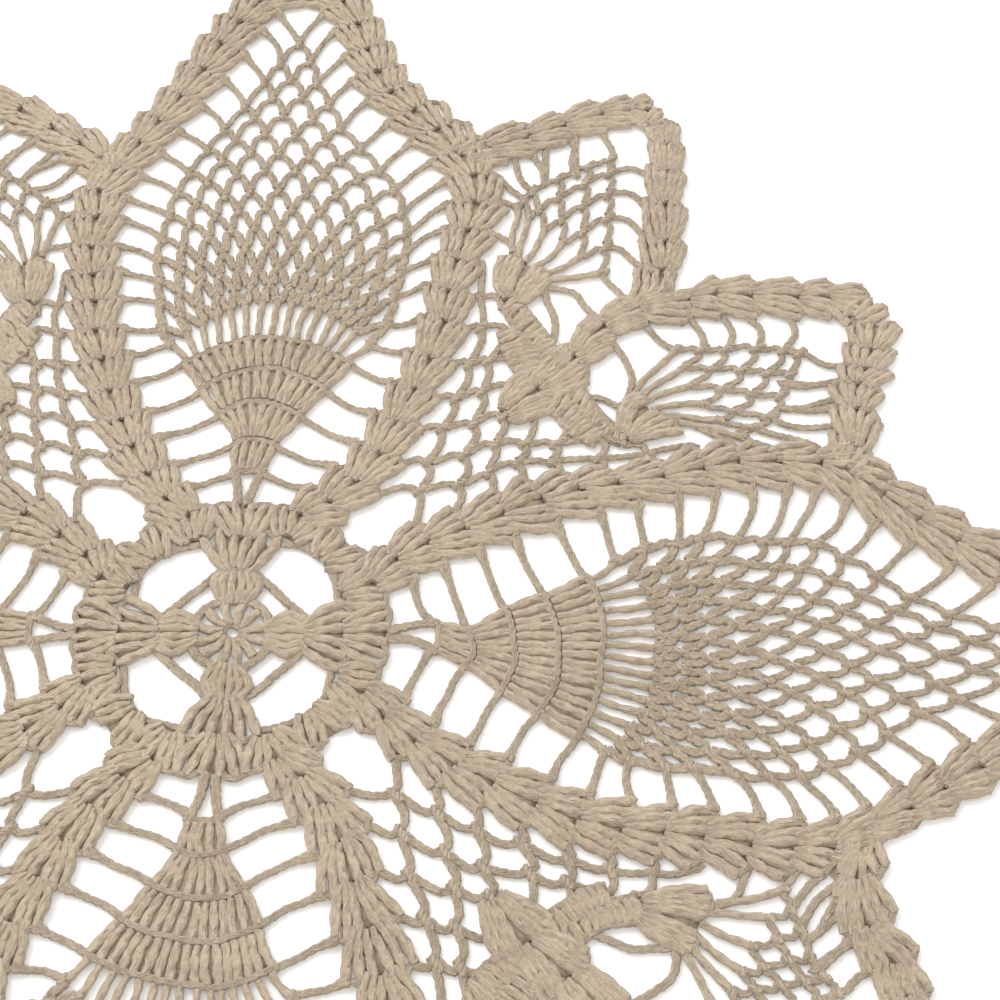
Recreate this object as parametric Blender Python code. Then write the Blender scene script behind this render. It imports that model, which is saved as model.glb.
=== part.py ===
"""Crocheted pineapple doily, one flat sheet of cotton thread worked in the round.

The sheet lies in the XY plane with the medallion at the origin, one big pineapple along each
half axis and two small pineapples on each diagonal. All sizes below are millimetres; the mesh
is built in metres. Under side at Z = 0.
"""
import bpy
import numpy as np
from math import cos, hypot, pi, radians, sin, sqrt
from mathutils import Vector
from mathutils.geometry import delaunay_2d_cdt

for old in list(bpy.data.objects):
    bpy.data.objects.remove(old, do_unlink=True)

METRE = 0.001
CORD = 0.95            # half the width of a chain of crochet
CHAIN_HIGH = 1.6       # thickness of the sheet along chains
RIDGE_HIGH = 2.2       # thickness along the top chain of a row of trebles
SPACE_HIGH = 1.3       # thickness in the small dark space a shell is worked in
EDGE_OUT = 6.4         # how far the outer edge stands outside the shell spaces
EDGE_DENT = 4.5        # the same at the dent between two shells
VALLEY_OUT = 3.4       # the same in a valley of the edge
VALLEY_SHELL = 13      # the shell of a column that stands in the valley
SCALLOP_HALF = 1.9     # half the flat top of a scallop
JOIN = 5.6             # from a shell space to the end of the bar beside it
RIDGE_ON = 2.6         # from a shell space on to the ridge along the top of its trebles
RIDGE_OUT = 3.2        # from the middle of a shell across to the crests of that ridge
CLEAR = 0.8            # least distance of a relief point from an opening
PINEAPPLES = 4

# Shell spaces of a column beside a big pineapple: along its axis, across it.
# Shells 0 to 12 lie inside the doily, 13 is the valley, and the rest are its outer edge.
COLUMN = [
    (32.5, 14.2), (37.5, 20.4), (45.0, 26.3), (53.7, 31.7), (63.2, 35.7), (72.8, 39.6),
    (82.4, 43.2), (92.1, 46.0), (102.0, 48.0), (111.6, 49.5), (121.4, 50.8), (131.4, 51.2),
    (141.0, 50.6), (149.8, 47.0), (158.6, 41.8), (167.4, 36.0), (176.2, 30.2), (185.2, 24.8),
    (194.8, 20.4), (204.6, 16.2), (213.6, 11.4), (219.0, 3.6)]
# Rows of the net of a big pineapple: row, along at the middle, along at the ends, across at the ends, loops.
NET = [
    (5, 100.5, 87.5, 25.5, 14), (6, 106.5, 93.0, 28.5, 13), (7, 113.5, 101.0, 30.0, 12),
    (8, 120.5, 108.5, 31.3, 11), (9, 128.0, 116.0, 32.0, 10), (10, 135.0, 123.5, 32.3, 9),
    (11, 141.5, 131.5, 31.3, 8), (12, 148.5, 139.5, 29.5, 7), (13, 155.0, 147.0, 26.5, 6),
    (14, 162.0, 155.5, 22.5, 5), (15, 169.0, 163.5, 17.5, 4), (16, 176.0, 172.0, 12.5, 3),
    (17, 183.5, 181.5, 7.5, 2), (18, 192.5, 192.0, 3.8, 1), (19, 204.0, 204.0, 0.0, 0)]
TIP = 48.0                                   # tip of a big pineapple, on its axis
FAN_ROW = [0.0, 8.7, 19.4, 29.4, 39.9]       # radii of the treble rows, round the tip
FAN_HALF = radians(32.2)                     # half the angle of the treble fan
# Meeting points of the trellis on a diagonal: row, along the diagonal, across it (mirrored).
TRELLIS = [
    (3, 60.0, 0.0), (4, 68.5, 5.2), (5, 76.3, 0.0), (5, 77.2, 9.6), (6, 84.2, 4.6), (6, 86.0, 13.8),
    (7, 91.0, 0.0), (7, 91.6, 9.8), (7, 95.0, 18.8), (8, 99.5, 14.5), (8, 104.5, 24.5), (9, 112.0, 31.0)]
# Shell spaces on the outer edge of a small pineapple: along the diagonal, across it.
EDGE_OVER = [(144.8, 71.3), (153.1, 70.1), (162.2, 67.5), (172.6, 64.8), (182.7, 59.5), (190.5, 53.0)]
EDGE_UNDER = [(194.3, 46.0), (187.5, 38.0), (180.2, 30.6), (170.8, 21.9), (162.0, 14.0), (154.0, 8.5)]
VALLEY = (147.5, 0.0)
# Shell spaces inside a wedge: the star up the diagonal, its branch and the small pineapple's base.
STAR = [(103.0, 0.0), (116.0, 0.0), (129.0, 0.0), (141.0, 0.0)]
BRANCH = [(110.5, 12.5), (117.5, 25.0), (129.5, 32.0)]
# Openings of a small pineapple and its base: name, then the corners along and across the diagonal.
SMALL = [
    ("over0", [(120, 43), (126, 44), (128.5, 41), (126, 35.5), (120.5, 29.8), (117.5, 31.8), (119.5, 36.5)]),
    ("over1", [(128.3, 50.4), (132.4, 53), (134.6, 51.6), (134.8, 48), (131.2, 39.8), (129.9, 43.6)]),
    ("over4", [(148.4, 63.7), (150.8, 61.5), (152.2, 57.3), (152.3, 49), (148.9, 50.7)]),
    ("over5", [(154.2, 62.3), (155.6, 63.9), (160, 58.4), (160.8, 53), (159.4, 48), (157.2, 45), (154.4, 46.6)]),
    ("over6", [(164, 60), (168.8, 54), (167.2, 44.8), (164.2, 40.4), (161.4, 43.6)]),
    ("crown", [(172.2, 54.6), (174.7, 56.5), (180.4, 49.2), (179.1, 35.4), (175.9, 33.8), (171.8, 39), (168.4, 40.6)]),
    ("under4", [(164.8, 36.2), (169.4, 36), (171, 33.1), (168.7, 25.9), (166.4, 26.4), (163, 33.2)]),
    ("under3", [(160.6, 31.4), (163.3, 29.5), (160.8, 21.2), (159.9, 25.2), (158, 28.2)]),
    ("under1", [(148.8, 22.3), (151.5, 22.6), (150.9, 17.7), (143.2, 9.9), (143.5, 13)]),
    ("under0", [(139.5, 18.5), (144, 19), (138.2, 9.4), (132, 4.6)]),
    ("base", [(124.5, 7.4), (120.6, 10), (125.8, 18.6), (131.6, 23.6), (136.8, 18.6), (131.8, 8.6)]),
    ("strut", [(117.9, 12.4), (113.6, 16), (118.4, 22), (124.4, 23.4)])]
# Openings of the medallion: along and across the diagonal.
RING = [(16.8, 11.4), (21.6, 11.5), (27.2, 4.8), (27.2, -4.8), (21.6, -11.5), (16.8, -11.4),
        (15.4, -5), (15.6, 0), (15.4, 5)]
WINDOW = [(10.3, -2.6), (13.8, -3.6), (13.8, 3.6), (10.3, 2.6)]
PEAK = [(206.8, 0), (213, 2.8), (215.5, 2.4), (215.5, -2.4), (213, -2.8)]   # along and across a big pineapple
FIRST = [(55.4, 0), (54.2, 4.6), (49.5, 8.6), (44.0, 7.4), (39.8, 3), (39.8, -3), (44.0, -7.4),
         (49.5, -8.6), (54.2, -4.6)]
CUT_TRELLIS = (3, 4)                         # trellis rows cut through

# Where the hand-worked cloth lies off the even pattern: X, Y of a place, then how far it has moved.
UNEVEN = [
    (-14, 32.5, 0, 0), (-26.5, 45, 1.5, 0), (-35.5, 63, 1.5, -2), (-43, 82.5, 1.5, -2.5), (-48, 102, 2, -3),
    (-51, 121.5, 1.5, -3.5), (-50.5, 141, 1, -3.5), (-42, 158.5, 0.5, -2.5), (-30, 176, -1.5, -2.5),
    (-20.5, 195, -2, 1), (-11.5, 213.5, -1.5, -0.5),
    (14, 32.5, -0.5, 1), (26.5, 45, 0.5, -1), (35.5, 63, 0, -0.5), (43, 82.5, 0.5, 0.5), (48, 102, -1, 3.5),
    (51, 121.5, 0.5, 5.5), (50.5, 141, 1.5, 5.5), (42, 158.5, -0.5, 5), (30, 176, -2.5, 1.5),
    (20.5, 195, 0, -0.5), (11.5, 213.5, 0.5, 1),
    (32.5, 14, 0, 0.5), (45, 26.5, 0.5, 0), (63, 35.5, 1, -0.5), (82.5, 43, 0.5, 0), (102, 48, 1, 0),
    (121.5, 51, 0, 2.5), (141, 50.5, 1.5, 2), (158.5, 42, -0.5, 1),
    (32.5, -14, -0.5, -0.5), (45, -26.5, 0, -1), (63, -35.5, 0, -1.5), (82.5, -43, 0, -2.5), (102, -48, 0, 0),
    (121.5, -51, -0.5, 0.5), (141, -50.5, -1, 0), (158.5, -42, -0.5, 1),
    (0, 48, -0.5, -1.5), (0, 67.5, 1.5, 1), (0, 88, 1.5, 1), (48, 0, 0.5, 1), (57, 0, 1, -3), (67.5, 0, 0, -2.5),
    (88, 0, 0.5, -2), (0, -48, -1.5, 0), (0, -67.5, -0.5, 0.5), (0, -88, -2, 1.5),
    (-21.5, 82, 1, -2), (21.5, 82, 1, -1), (82, 21.5, 0.5, -2.5), (82, -21.5, 1, -3), (-21.5, -82, -2, 1.5),
    (21.5, -82, -4, -1),
    (-28.5, 93, 0.5, 1), (-31.5, 108.5, 0.5, 0), (-32.5, 123.5, 1, 0), (-29.5, 139.5, 1.5, 0.5),
    (-22.5, 155.5, 0, 1.5), (-12.5, 172, -1, 1.5), (-4, 192, 0, -0.5),
    (31.5, 108.5, 4, 6), (32.5, 123.5, 2, 4.5), (29.5, 139.5, 0.5, 4), (22.5, 155.5, -1.5, 3),
    (12.5, 172, -2.5, 3.5), (4, 192, -0.5, 1.5),
    (108.5, 31.5, 3.5, -1.5), (123.5, 32.5, 4.5, -3), (139.5, 29.5, 1, 0.5), (155.5, 22.5, -1, 0),
    (93, -28.5, 0.5, -2.5), (123.5, -32.5, 2.5, -1.5), (139.5, -29.5, 0.5, -1), (155.5, -22.5, -1.5, 0.5),
    (74.5, 110, -1, -1.5), (61, 132.5, 4.5, 3), (88, 117.5, 0, -4.5), (70.5, 140.5, -2.5, 1), (90, 130, 0, 3),
    (89.5, 144, 1.5, 5.5), (58.5, 158, 9, 3.5), (76, 168, 11.5, 3), (87, 171.5, 9, 1), (105, 170, 0.5, -0.5),
    (106, 149, 0, 0), (104.5, 124.5, 0.5, -0.5),
    (113.5, 68, -15.5, 1.5), (117.5, 88, -10, -0.5), (132.5, 61, -12.5, 0), (130, 90, -8.5, -1),
    (140.5, 70.5, -9, -4), (144, 89.5, -7.5, 0), (147.5, 83, -11.5, -2), (124.5, 104.5, -7, 2),
    (136.5, 105.5, -9, 2), (149, 106, -9.5, 2.5), (159.5, 105.5, -12, 1), (170, 105, -13, -0.5),
    (171.5, 87, -13.5, 2), (162.5, 67, -8.5, 11), (158, 58.5, -5, 11.5), (104, 70, -11.5, -7),
    (73, 73, -1.5, 1.5), (82, 82, -1.5, 2.5), (91, 91, -3, 3.5), (99.5, 99.5, -2, 2.5), (106, 106, 1, 0.5),
    (64, -64, -0.5, -0.5), (73, -73, -1.5, -2), (87, -69.5, -3, 6), (101, -65.5, -5, -1),
    (65.5, 101, -1.5, 2), (69.5, 87, 2, 0.5), (87, 69.5, -4, -7.5)]
# Places that lie where the even pattern has them: X, Y.
EVEN = [
    (-52, 51), (-64, 64), (-82, 82), (-106, 106), (-140, 140), (-88, 118), (-80, 165), (-82, 0), (-82, 43),
    (-82, -43), (-140, 50), (-140, -50), (-130, 0), (-220, 0), (-64, -64), (-140, -140), (-50, -130),
    (50, -140), (0, -130), (0, -220), (140, -140), (106, -106), (165, -85), (85, -165), (0, 220), (220, 0),
    (190, 18), (190, -18), (18, 0), (-18, 0), (0, 18), (0, -18), (24, 24), (-24, 24), (-24, -24), (24, -24)]
LAY_EASE = 60.0        # how softly the cloth follows those places


def unit(a, b):
    d = hypot(b[0] - a[0], b[1] - a[1])
    return (b[0] - a[0]) / d, (b[1] - a[1]) / d


def beside(row, i, forward, inward):
    """Point beside place i of a row of places, inward being to the right hand."""
    t = unit(row[max(i - 1, 0)], row[min(i + 1, len(row) - 1)])
    return row[i][0] + forward * t[0] + inward * t[1], row[i][1] + forward * t[1] - inward * t[0]


def to_diagonal(p):
    """From along and across a big pineapple to along and across the diagonal, and back again."""
    return (p[0] + p[1]) / sqrt(2), (p[0] - p[1]) / sqrt(2)


to_axis = to_diagonal


def turned(points, quarter, side):
    """Points given along and across pineapple `quarter`; side -1 mirrors them."""
    c, s = round(cos(quarter * pi / 2)), round(sin(quarter * pi / 2))
    out = [(u * c - side * v * s, u * s + side * v * c) for u, v in points]
    return out if side > 0 else out[::-1]


def net_point(row, j):
    _, middle, end, across, loops = NET[row - NET[0][0]]
    s = 2.0 * j / loops - 1.0 if loops else 0.0
    return middle + (end - middle) * s * s, across * s


def bar_start(j):
    """Where bar j leaves the pineapple."""
    if j <= 4:
        return TIP + FAN_ROW[j] * cos(FAN_HALF), FAN_ROW[j] * sin(FAN_HALF)
    row = NET[j - NET[0][0]]
    return net_point(row[0], row[4])


def bar_end(j):
    """Where bar j meets the column."""
    return beside(COLUMN, j + 1, 2.2 if j < 6 else 0.8, JOIN)


def trellis_end(row):
    return to_diagonal(beside(COLUMN, row, 2.6, -5.8))


def trellis_point(row, j):
    """Meeting point j of a trellis row, counted from its own pineapple."""
    if j in (0, row - 1):
        d, t = trellis_end(row)
        return (d, t) if j == 0 else (d, -t)
    half = sorted(((d, t) for r, d, t in TRELLIS if r == row), key=lambda q: -q[1])
    return (half + [(d, -t) for d, t in half[::-1] if t > 0])[j - 1]


def inset(corners, by):
    """Corners moved inward, edge i (from corner i to i + 1) by by[i]."""
    n = len(corners)
    turn = sum(corners[i - 1][0] * corners[i][1] - corners[i][0] * corners[i - 1][1] for i in range(n))
    if turn < 0:
        corners = corners[::-1]
        by = by[::-1][1:] + by[::-1][:1]
    out = []
    for i in range(n):
        (tx, ty), (sx, sy) = unit(corners[i - 1], corners[i]), unit(corners[i], corners[(i + 1) % n])
        p, q = by[i - 1], by[i]
        det = tx * sy - ty * sx
        if abs(det) < 0.08:
            mx, my = -(ty * p + sy * q) / 2, (tx * p + sx * q) / 2
        else:
            mx, my = (sx * p - tx * q) / det, (sy * p - ty * q) / det
        long = max(1.0, hypot(mx, my) / 4.0)
        out.append((corners[i][0] + mx / long, corners[i][1] + my / long))
    return out


def bar_openings():
    """The openings between a pineapple and its column, one beyond each bar."""
    yield inset([(TIP, 0.0), bar_end(0), (35.8, 10.5), (38.6, 3.6)], [CORD, 0.3, 0.2, CORD])
    for j in range(1, 20):
        side = 0.2 if j <= 5 else CORD
        corner, flank = beside(COLUMN, j + 1, -0.5, 8.0), beside(COLUMN, j + 1, -3.4, 7.2)
        corners = [bar_start(j - 1), bar_start(j), corner, flank, bar_end(j - 1)]
        yield inset(corners, [side, CORD, 0.1, 0.1, CORD])


def trellis_openings():
    """(corners, whether its middle is on the diagonal) of each opening of the cut rows."""
    for row in CUT_TRELLIS:
        for j in range(row // 2):
            left, right = trellis_point(row, j), trellis_point(row, j + 1)
            top = trellis_point(row + 1, j + 1)
            if j == 0:
                flank = to_diagonal(beside(COLUMN, row, -3.0, -7.0))
                corners, by = [trellis_end(row - 1), right, top, left, flank], [CORD, CORD, CORD, 0.1, 0.1]
            else:
                corners, by = [trellis_point(row - 1, j), right, top, left], [CORD] * 4
            yield inset(corners, by), row % 2 == 0 and j == row // 2 - 1


def openings():
    """Every opening of the whole doily, on the even pattern."""
    found = []
    for quarter in range(PINEAPPLES):
        on_axis = list(bar_openings())
        on_both = [corners for corners, middle in trellis_openings() if not middle]
        on_both += [corners for _, corners in SMALL]
        on_diagonal = [corners for corners, middle in trellis_openings() if middle] + [RING, WINDOW, FIRST]
        for side in (1, -1):
            found += [turned(corners, quarter, side) for corners in on_axis]
            found += [turned([to_axis(p) for p in corners], quarter, side) for corners in on_both]
        found += [turned([to_axis(p) for p in corners], quarter, 1) for corners in on_diagonal]
        found.append(turned(PEAK, quarter, 1))
    return found


def outline():
    """Outer edge: a scallop round every shell space, running anticlockwise."""
    half = COLUMN[:VALLEY_SHELL - 1:-1] + [to_axis(p) for p in EDGE_OVER + EDGE_UNDER]
    spaces = []
    for quarter in range(PINEAPPLES):
        spaces += turned(half, quarter, 1) + turned([to_axis(VALLEY)], quarter, 1)
        spaces += turned(half, (quarter + 1) % PINEAPPLES, -1)
    path = np.array(spaces)
    edge = []
    for i, (x, y) in enumerate(spaces):
        a, b = spaces[i - 1], spaces[(i + 1) % len(spaces)]
        (tx, ty), (sx, sy) = unit(a, (x, y)), unit((x, y), b)
        bend = tx * sy - ty * sx
        mx, my = unit((0, 0), (tx + sx, ty + sy))
        if bend < -0.35:
            edge.append((x + my * VALLEY_OUT, y - mx * VALLEY_OUT, 0.0))
            continue
        before, after = hypot(x - a[0], y - a[1]) / 2, hypot(b[0] - x, b[1] - y) / 2
        out = EDGE_OUT + 0.6 * max(bend, 0.0)
        edge.append((x - tx * before + ty * EDGE_DENT, y - ty * before - tx * EDGE_DENT, EDGE_DENT))
        for way, reach, (px, py) in ((-1, before, (tx, ty)), (1, after, (sx, sy))):
            step = way * min(0.4 * reach, SCALLOP_HALF) * (1 + max(bend, 0.0))
            edge.append((x + step * px + out * (my + py) / 2, y + step * py - out * (mx + px) / 2, out))
    far = nearest(np.array([p[:2] for p in edge]), path)
    return [(x, y) for (x, y, wanted), d in zip(edge, far) if d > wanted - 0.5]


def lay_map():
    """The smooth shift of the cloth as a function of places."""
    table = np.array(UNEVEN + [p + (0, 0) for p in EVEN], float)
    at, off = table[:, :2], table[:, 2:]
    n = len(at)

    def pull(q):
        r2 = ((q[:, None] - at[None]) ** 2).sum(-1)
        return 0.5 * r2 * np.log(np.maximum(r2, 1e-9))

    system = np.zeros((n + 3, n + 3))
    system[:n, :n] = pull(at) + LAY_EASE * np.eye(n)
    system[:n, n] = system[n, :n] = 1
    system[:n, n + 1:], system[n + 1:, :n] = at, at.T
    weight = np.linalg.solve(system, np.vstack([off, np.zeros((3, 2))]))
    return lambda q: q + pull(q) @ weight[:n] + weight[n] + q @ weight[n + 1:]


def relief():
    """(point, thickness) of the ridges and spaces inside the sheet, on the even pattern."""
    edge = [to_axis(p) for p in EDGE_OVER + EDGE_UNDER]
    for quarter in range(PINEAPPLES):
        for side in (1, -1):
            spaces = COLUMN[1:-1] + edge + [to_axis(p) for p in BRANCH]
            ridges = [beside(COLUMN, i, RIDGE_ON, way * RIDGE_OUT)
                      for i in range(1, VALLEY_SHELL) for way in (-1, 1)]
            ridges += [beside(COLUMN, i, 0.0, -RIDGE_OUT) for i in range(VALLEY_SHELL, len(COLUMN) - 1)]
            ridges += [beside(edge, i, 0.0, -RIDGE_OUT) for i in range(len(edge))]
            for row, radius in enumerate(FAN_ROW[1:], 1):
                for k in range(1 + row // 2):
                    turn = FAN_HALF * (k * 2 + 1) / (2 + row)
                    ridges.append((TIP + radius * cos(turn), radius * sin(turn)))
            for p in turned(spaces, quarter, side):
                yield p, SPACE_HIGH
            for p in turned(ridges, quarter, side):
                yield p, RIDGE_HIGH
        for p in STAR:
            yield turned([to_axis(p)], quarter, 1)[0], SPACE_HIGH


def inside(points, polygon):
    """Which points lie inside a polygon."""
    x, y = points[:, 0], points[:, 1]
    hit = np.zeros(len(points), bool)
    for (ax, ay), (bx, by) in zip(polygon, np.roll(polygon, -1, axis=0)):
        if ay != by:
            hit ^= ((ay > y) != (by > y)) & (x < (bx - ax) * (y - ay) / (by - ay) + ax)
    return hit


def nearest(points, polygon):
    """Distance of each point from a polygon's edge."""
    a, b = polygon, np.roll(polygon, -1, axis=0)
    d = b - a
    t = ((points[:, None] - a) * d).sum(-1) / (d * d).sum(-1)
    foot = a + np.clip(t, 0, 1)[..., None] * d
    return np.sqrt(((points[:, None] - foot) ** 2).sum(-1)).min(1)


def sheet():
    """Points (with their thickness) and triangles of the doily's plan."""
    lay = lay_map()
    loops = [lay(np.array(outline()))] + [lay(np.array(o)) for o in openings()]
    extra = list(relief())
    at, high = lay(np.array([p for p, _ in extra])), np.array([h for _, h in extra])
    clear = inside(at, loops[0]) & (nearest(at, loops[0]) > CLEAR)
    for hole in loops[1:]:
        near = np.abs(at - hole.mean(0)).max(1) < 16
        clear[near] &= ~inside(at[near], hole) & (nearest(at[near], hole) > CLEAR)
    at, high = at[clear], high[clear]
    points, edges = [], []
    for loop in loops:
        first = len(points)
        points += [tuple(p) for p in loop]
        edges += [(first + i, first + (i + 1) % len(loop)) for i in range(len(loop))]
    bordering = len(points)
    points += [tuple(p) for p in at]
    verts, _, faces, origin, _, _ = delaunay_2d_cdt([Vector(p) for p in points], edges, [], 1, 1e-6)
    plan = np.array([tuple(v) for v in verts])
    level = np.full(len(plan), CHAIN_HIGH)
    for i, source in enumerate(origin):
        if source and source[0] >= bordering:
            level[i] = high[source[0] - bordering]
    tri = np.array([tuple(f) for f in faces])
    middle = plan[tri].mean(1)
    keep = inside(middle, loops[0])
    for hole in loops[1:]:
        near = np.abs(middle - hole.mean(0)).max(1) < 30
        keep[near] &= ~inside(middle[near], hole)
    return plan, level, tri[keep]


def build(name, colour):
    plan, level, tri = sheet()
    used = np.unique(tri)
    back = np.full(len(plan), -1)
    back[used] = np.arange(len(used))
    plan, level, tri = plan[used], level[used], back[tri]
    a, b, c = plan[tri[:, 0]], plan[tri[:, 1]], plan[tri[:, 2]]
    turn = (b[:, 0] - a[:, 0]) * (c[:, 1] - a[:, 1]) - (b[:, 1] - a[:, 1]) * (c[:, 0] - a[:, 0])
    tri[turn < 0] = tri[turn < 0][:, ::-1]
    n = len(plan)
    top = np.column_stack([plan, level])
    bottom = np.column_stack([plan, np.zeros(n)])
    faces = tri.tolist() + (tri[:, ::-1] + n).tolist()
    ways = {(i, j) for a, b, c in tri.tolist() for i, j in ((a, b), (b, c), (c, a))}
    for i, j in sorted(ways):
        if (j, i) not in ways:
            faces += [(j, i, i + n), (j, i + n, j + n)]
    mesh = bpy.data.meshes.new(name)
    mesh.from_pydata((np.vstack([top, bottom]) * METRE).tolist(), [], faces)
    mesh.update()
    obj = bpy.data.objects.new(name, mesh)
    bpy.context.scene.collection.objects.link(obj)
    material = bpy.data.materials.new(name + " cotton")
    material.use_nodes = True
    shader = material.node_tree.nodes["Principled BSDF"]
    shader.inputs["Base Color"].default_value = (*colour, 1.0)
    shader.inputs["Roughness"].default_value = 0.95
    mesh.materials.append(material)
    return obj


build("doily", (0.50, 0.42, 0.32))
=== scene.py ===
"""Crocheted pineapple doily: every chain, treble and knot of its thread, laid on a pale table.

The pattern is laid out in millimetres, with the medallion at the origin and a big pineapple along
each half axis, then shifted as the hand-worked cloth lies, and turned into metres at the end.
"""
from math import cos, hypot, pi, radians, sin, sqrt

import bpy
import numpy as np
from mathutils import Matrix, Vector


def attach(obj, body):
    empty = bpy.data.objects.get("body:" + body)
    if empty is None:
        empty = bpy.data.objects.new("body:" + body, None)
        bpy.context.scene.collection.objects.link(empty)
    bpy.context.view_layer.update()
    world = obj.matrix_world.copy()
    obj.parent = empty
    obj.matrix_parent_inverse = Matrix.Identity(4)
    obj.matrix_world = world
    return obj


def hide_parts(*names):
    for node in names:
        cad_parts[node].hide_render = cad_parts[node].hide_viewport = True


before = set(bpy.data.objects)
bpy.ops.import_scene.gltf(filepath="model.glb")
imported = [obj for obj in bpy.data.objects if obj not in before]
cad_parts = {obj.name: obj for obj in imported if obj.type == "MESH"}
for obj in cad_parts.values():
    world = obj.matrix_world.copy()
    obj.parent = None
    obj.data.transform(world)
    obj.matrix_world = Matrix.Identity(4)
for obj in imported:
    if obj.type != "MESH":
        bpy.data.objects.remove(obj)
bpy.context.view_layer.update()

METRE = 0.001

# Thread sizes, millimetres
CHAIN_WIDE = 2.0           # a chain of crochet, across
POST_WIDE = 2.5            # a treble, across
CHAIN_STRAND = 0.6         # radius of each of a chain's three strands
POST_STRAND = 0.95         # radius of each of a treble's two strands
CHAIN_UP = 0.92            # height of a chain's middle over the table
POST_UP = 1.25             # the same for a treble
RIDGE_UP = 1.6             # the same for the chain along the top of a row of trebles
STITCH = 2.3               # length of one chain stitch
SHELL_HALF = 7.3           # half the width of a shell along its top
EDGE_HALF = 6.8            # the same on the outer side of the edge
LEG = 1.0                  # from a knot of a net to the middle of a chain that leaves it
JOIN = 6.5                 # from a shell's space to the end of the bar beside it
PINEAPPLES = 4
EDGE_FROM = 13             # the shell of a column that stands in the valley of the edge
BARS = 20                  # bars from a big pineapple to a column, the one at its tip among them
WIDE_ROWS = 9              # the rows of a net before this one are worked in plump chain
FIRM_ROWS = 13             # and those before this one in chain a little plumper than the rest
STRAY = 0.45               # how far a treble strays from its even place
KNOT_NEAR = 3.2            # a bar that ends this near a knot is tied to it
TUCK = 4.5                 # how far short of a shell's middle a bar ends under its trebles

# Shell spaces of a column beside a big pineapple: along its axis, across it.
COLUMN = [
    (32.5, 14.2), (37.5, 20.4), (45.0, 26.3), (53.7, 31.7), (63.2, 35.7), (72.8, 39.6),
    (82.4, 43.2), (92.1, 46.0), (102.0, 48.0), (111.6, 49.5), (121.4, 50.8), (131.4, 51.2),
    (141.0, 50.6), (149.8, 47.0), (158.6, 41.8), (167.4, 36.0), (176.2, 30.2), (185.2, 24.8),
    (194.8, 20.4), (204.6, 16.2), (213.6, 11.4), (219.0, 3.6)]
# Rows of the net of a big pineapple: row, along at the middle, along at the ends, across at the ends, loops.
NET = [
    (5, 100.5, 87.5, 25.5, 14), (6, 106.5, 93.0, 28.5, 13), (7, 113.5, 101.0, 30.0, 12),
    (8, 120.5, 108.5, 31.3, 11), (9, 128.0, 116.0, 32.0, 10), (10, 135.0, 123.5, 32.3, 9),
    (11, 141.5, 131.5, 31.3, 8), (12, 148.5, 139.5, 29.5, 7), (13, 155.0, 147.0, 26.5, 6),
    (14, 162.0, 155.5, 22.5, 5), (15, 169.0, 163.5, 17.5, 4), (16, 176.0, 172.0, 12.5, 3),
    (17, 183.0, 181.5, 7.5, 2), (18, 190.0, 189.8, 4.0, 1), (19, 197.0, 197.0, 0.0, 0)]
TIP = 48.0                                   # tip of a big pineapple, on its axis
FAN_ROW = [0.0, 8.7, 19.4, 29.4, 39.9]       # radii of the treble rows, round the tip
FAN_POSTS = [5, 9, 13, 17]                   # trebles in each row
FAN_HALF = radians(32.2)                     # half the angle of the treble fan
# Meeting points of the trellis on a diagonal: row, along the diagonal, across it (mirrored).
TRELLIS = [
    (3, 60.0, 0.0), (4, 68.5, 5.2), (5, 76.3, 0.0), (5, 77.2, 9.6), (6, 84.2, 4.6), (6, 86.0, 13.8),
    (7, 91.0, 0.0), (7, 91.6, 9.8), (7, 95.0, 18.8), (8, 99.5, 14.5), (8, 104.5, 24.5), (9, 112.0, 31.0)]
# Chains that end the trellis against the star and the branch: start, crest and end on the diagonal frame.
TRELLIS_ENDS = [
    ((91.6, 9.8), (97.5, 5.4), (94.5, 1.5)), ((104.5, 24.5), (109.0, 20.6), (99.5, 14.5)),
    ((99.5, 14.5), (104.0, 11.0), (103.5, 6.5)), ((112.0, 31.0), (115.5, 28.5), (113.0, 25.0))]
# Shell spaces on the outer edge of a small pineapple: along the diagonal, across it.
EDGE_OVER = [(144.8, 71.3), (153.1, 70.1), (162.2, 67.5), (172.6, 64.8), (182.7, 59.5), (189.0, 54.5)]
EDGE_UNDER = [(154.0, 8.5), (162.0, 14.0), (170.8, 21.9), (180.2, 30.6), (187.5, 38.0), (191.5, 44.5)]
# Shell spaces inside a wedge: the star up the diagonal, and its branch to the small pineapple's base.
STAR = [(91.0, 0.0), (103.0, 0.0), (116.0, 0.0), (129.0, 0.0), (141.0, 0.0), (149.0, 0.0)]
BRANCH = [(103.0, 0.0), (110.5, 12.5), (117.5, 25.0), (128.5, 32.0)]
STAR_REACH = [6.8, 7.0, 7.0, 7.0, 5.5]
# Chain between the two tiers of trebles at the foot of a branch.
BRANCH_ROW = [(106.5, 2.0), (107.6, 8.0), (109.0, 14.0), (111.6, 20.0), (114.0, 25.5)]
# Net of a small pineapple: the same columns as NET, from the top of its base shell.
SMALL_BASE = (128.5, 32.0)
SMALL_TURN = radians(16.0)
SMALL_NET = [
    (0, 14.5, 13.0, 15.5, 5), (1, 20.5, 19.0, 13.5, 4), (2, 26.0, 25.0, 11.0, 3),
    (3, 31.5, 31.0, 7.6, 2), (4, 37.0, 37.0, 3.7, 1), (5, 41.5, 41.5, 0.0, 0)]
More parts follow.
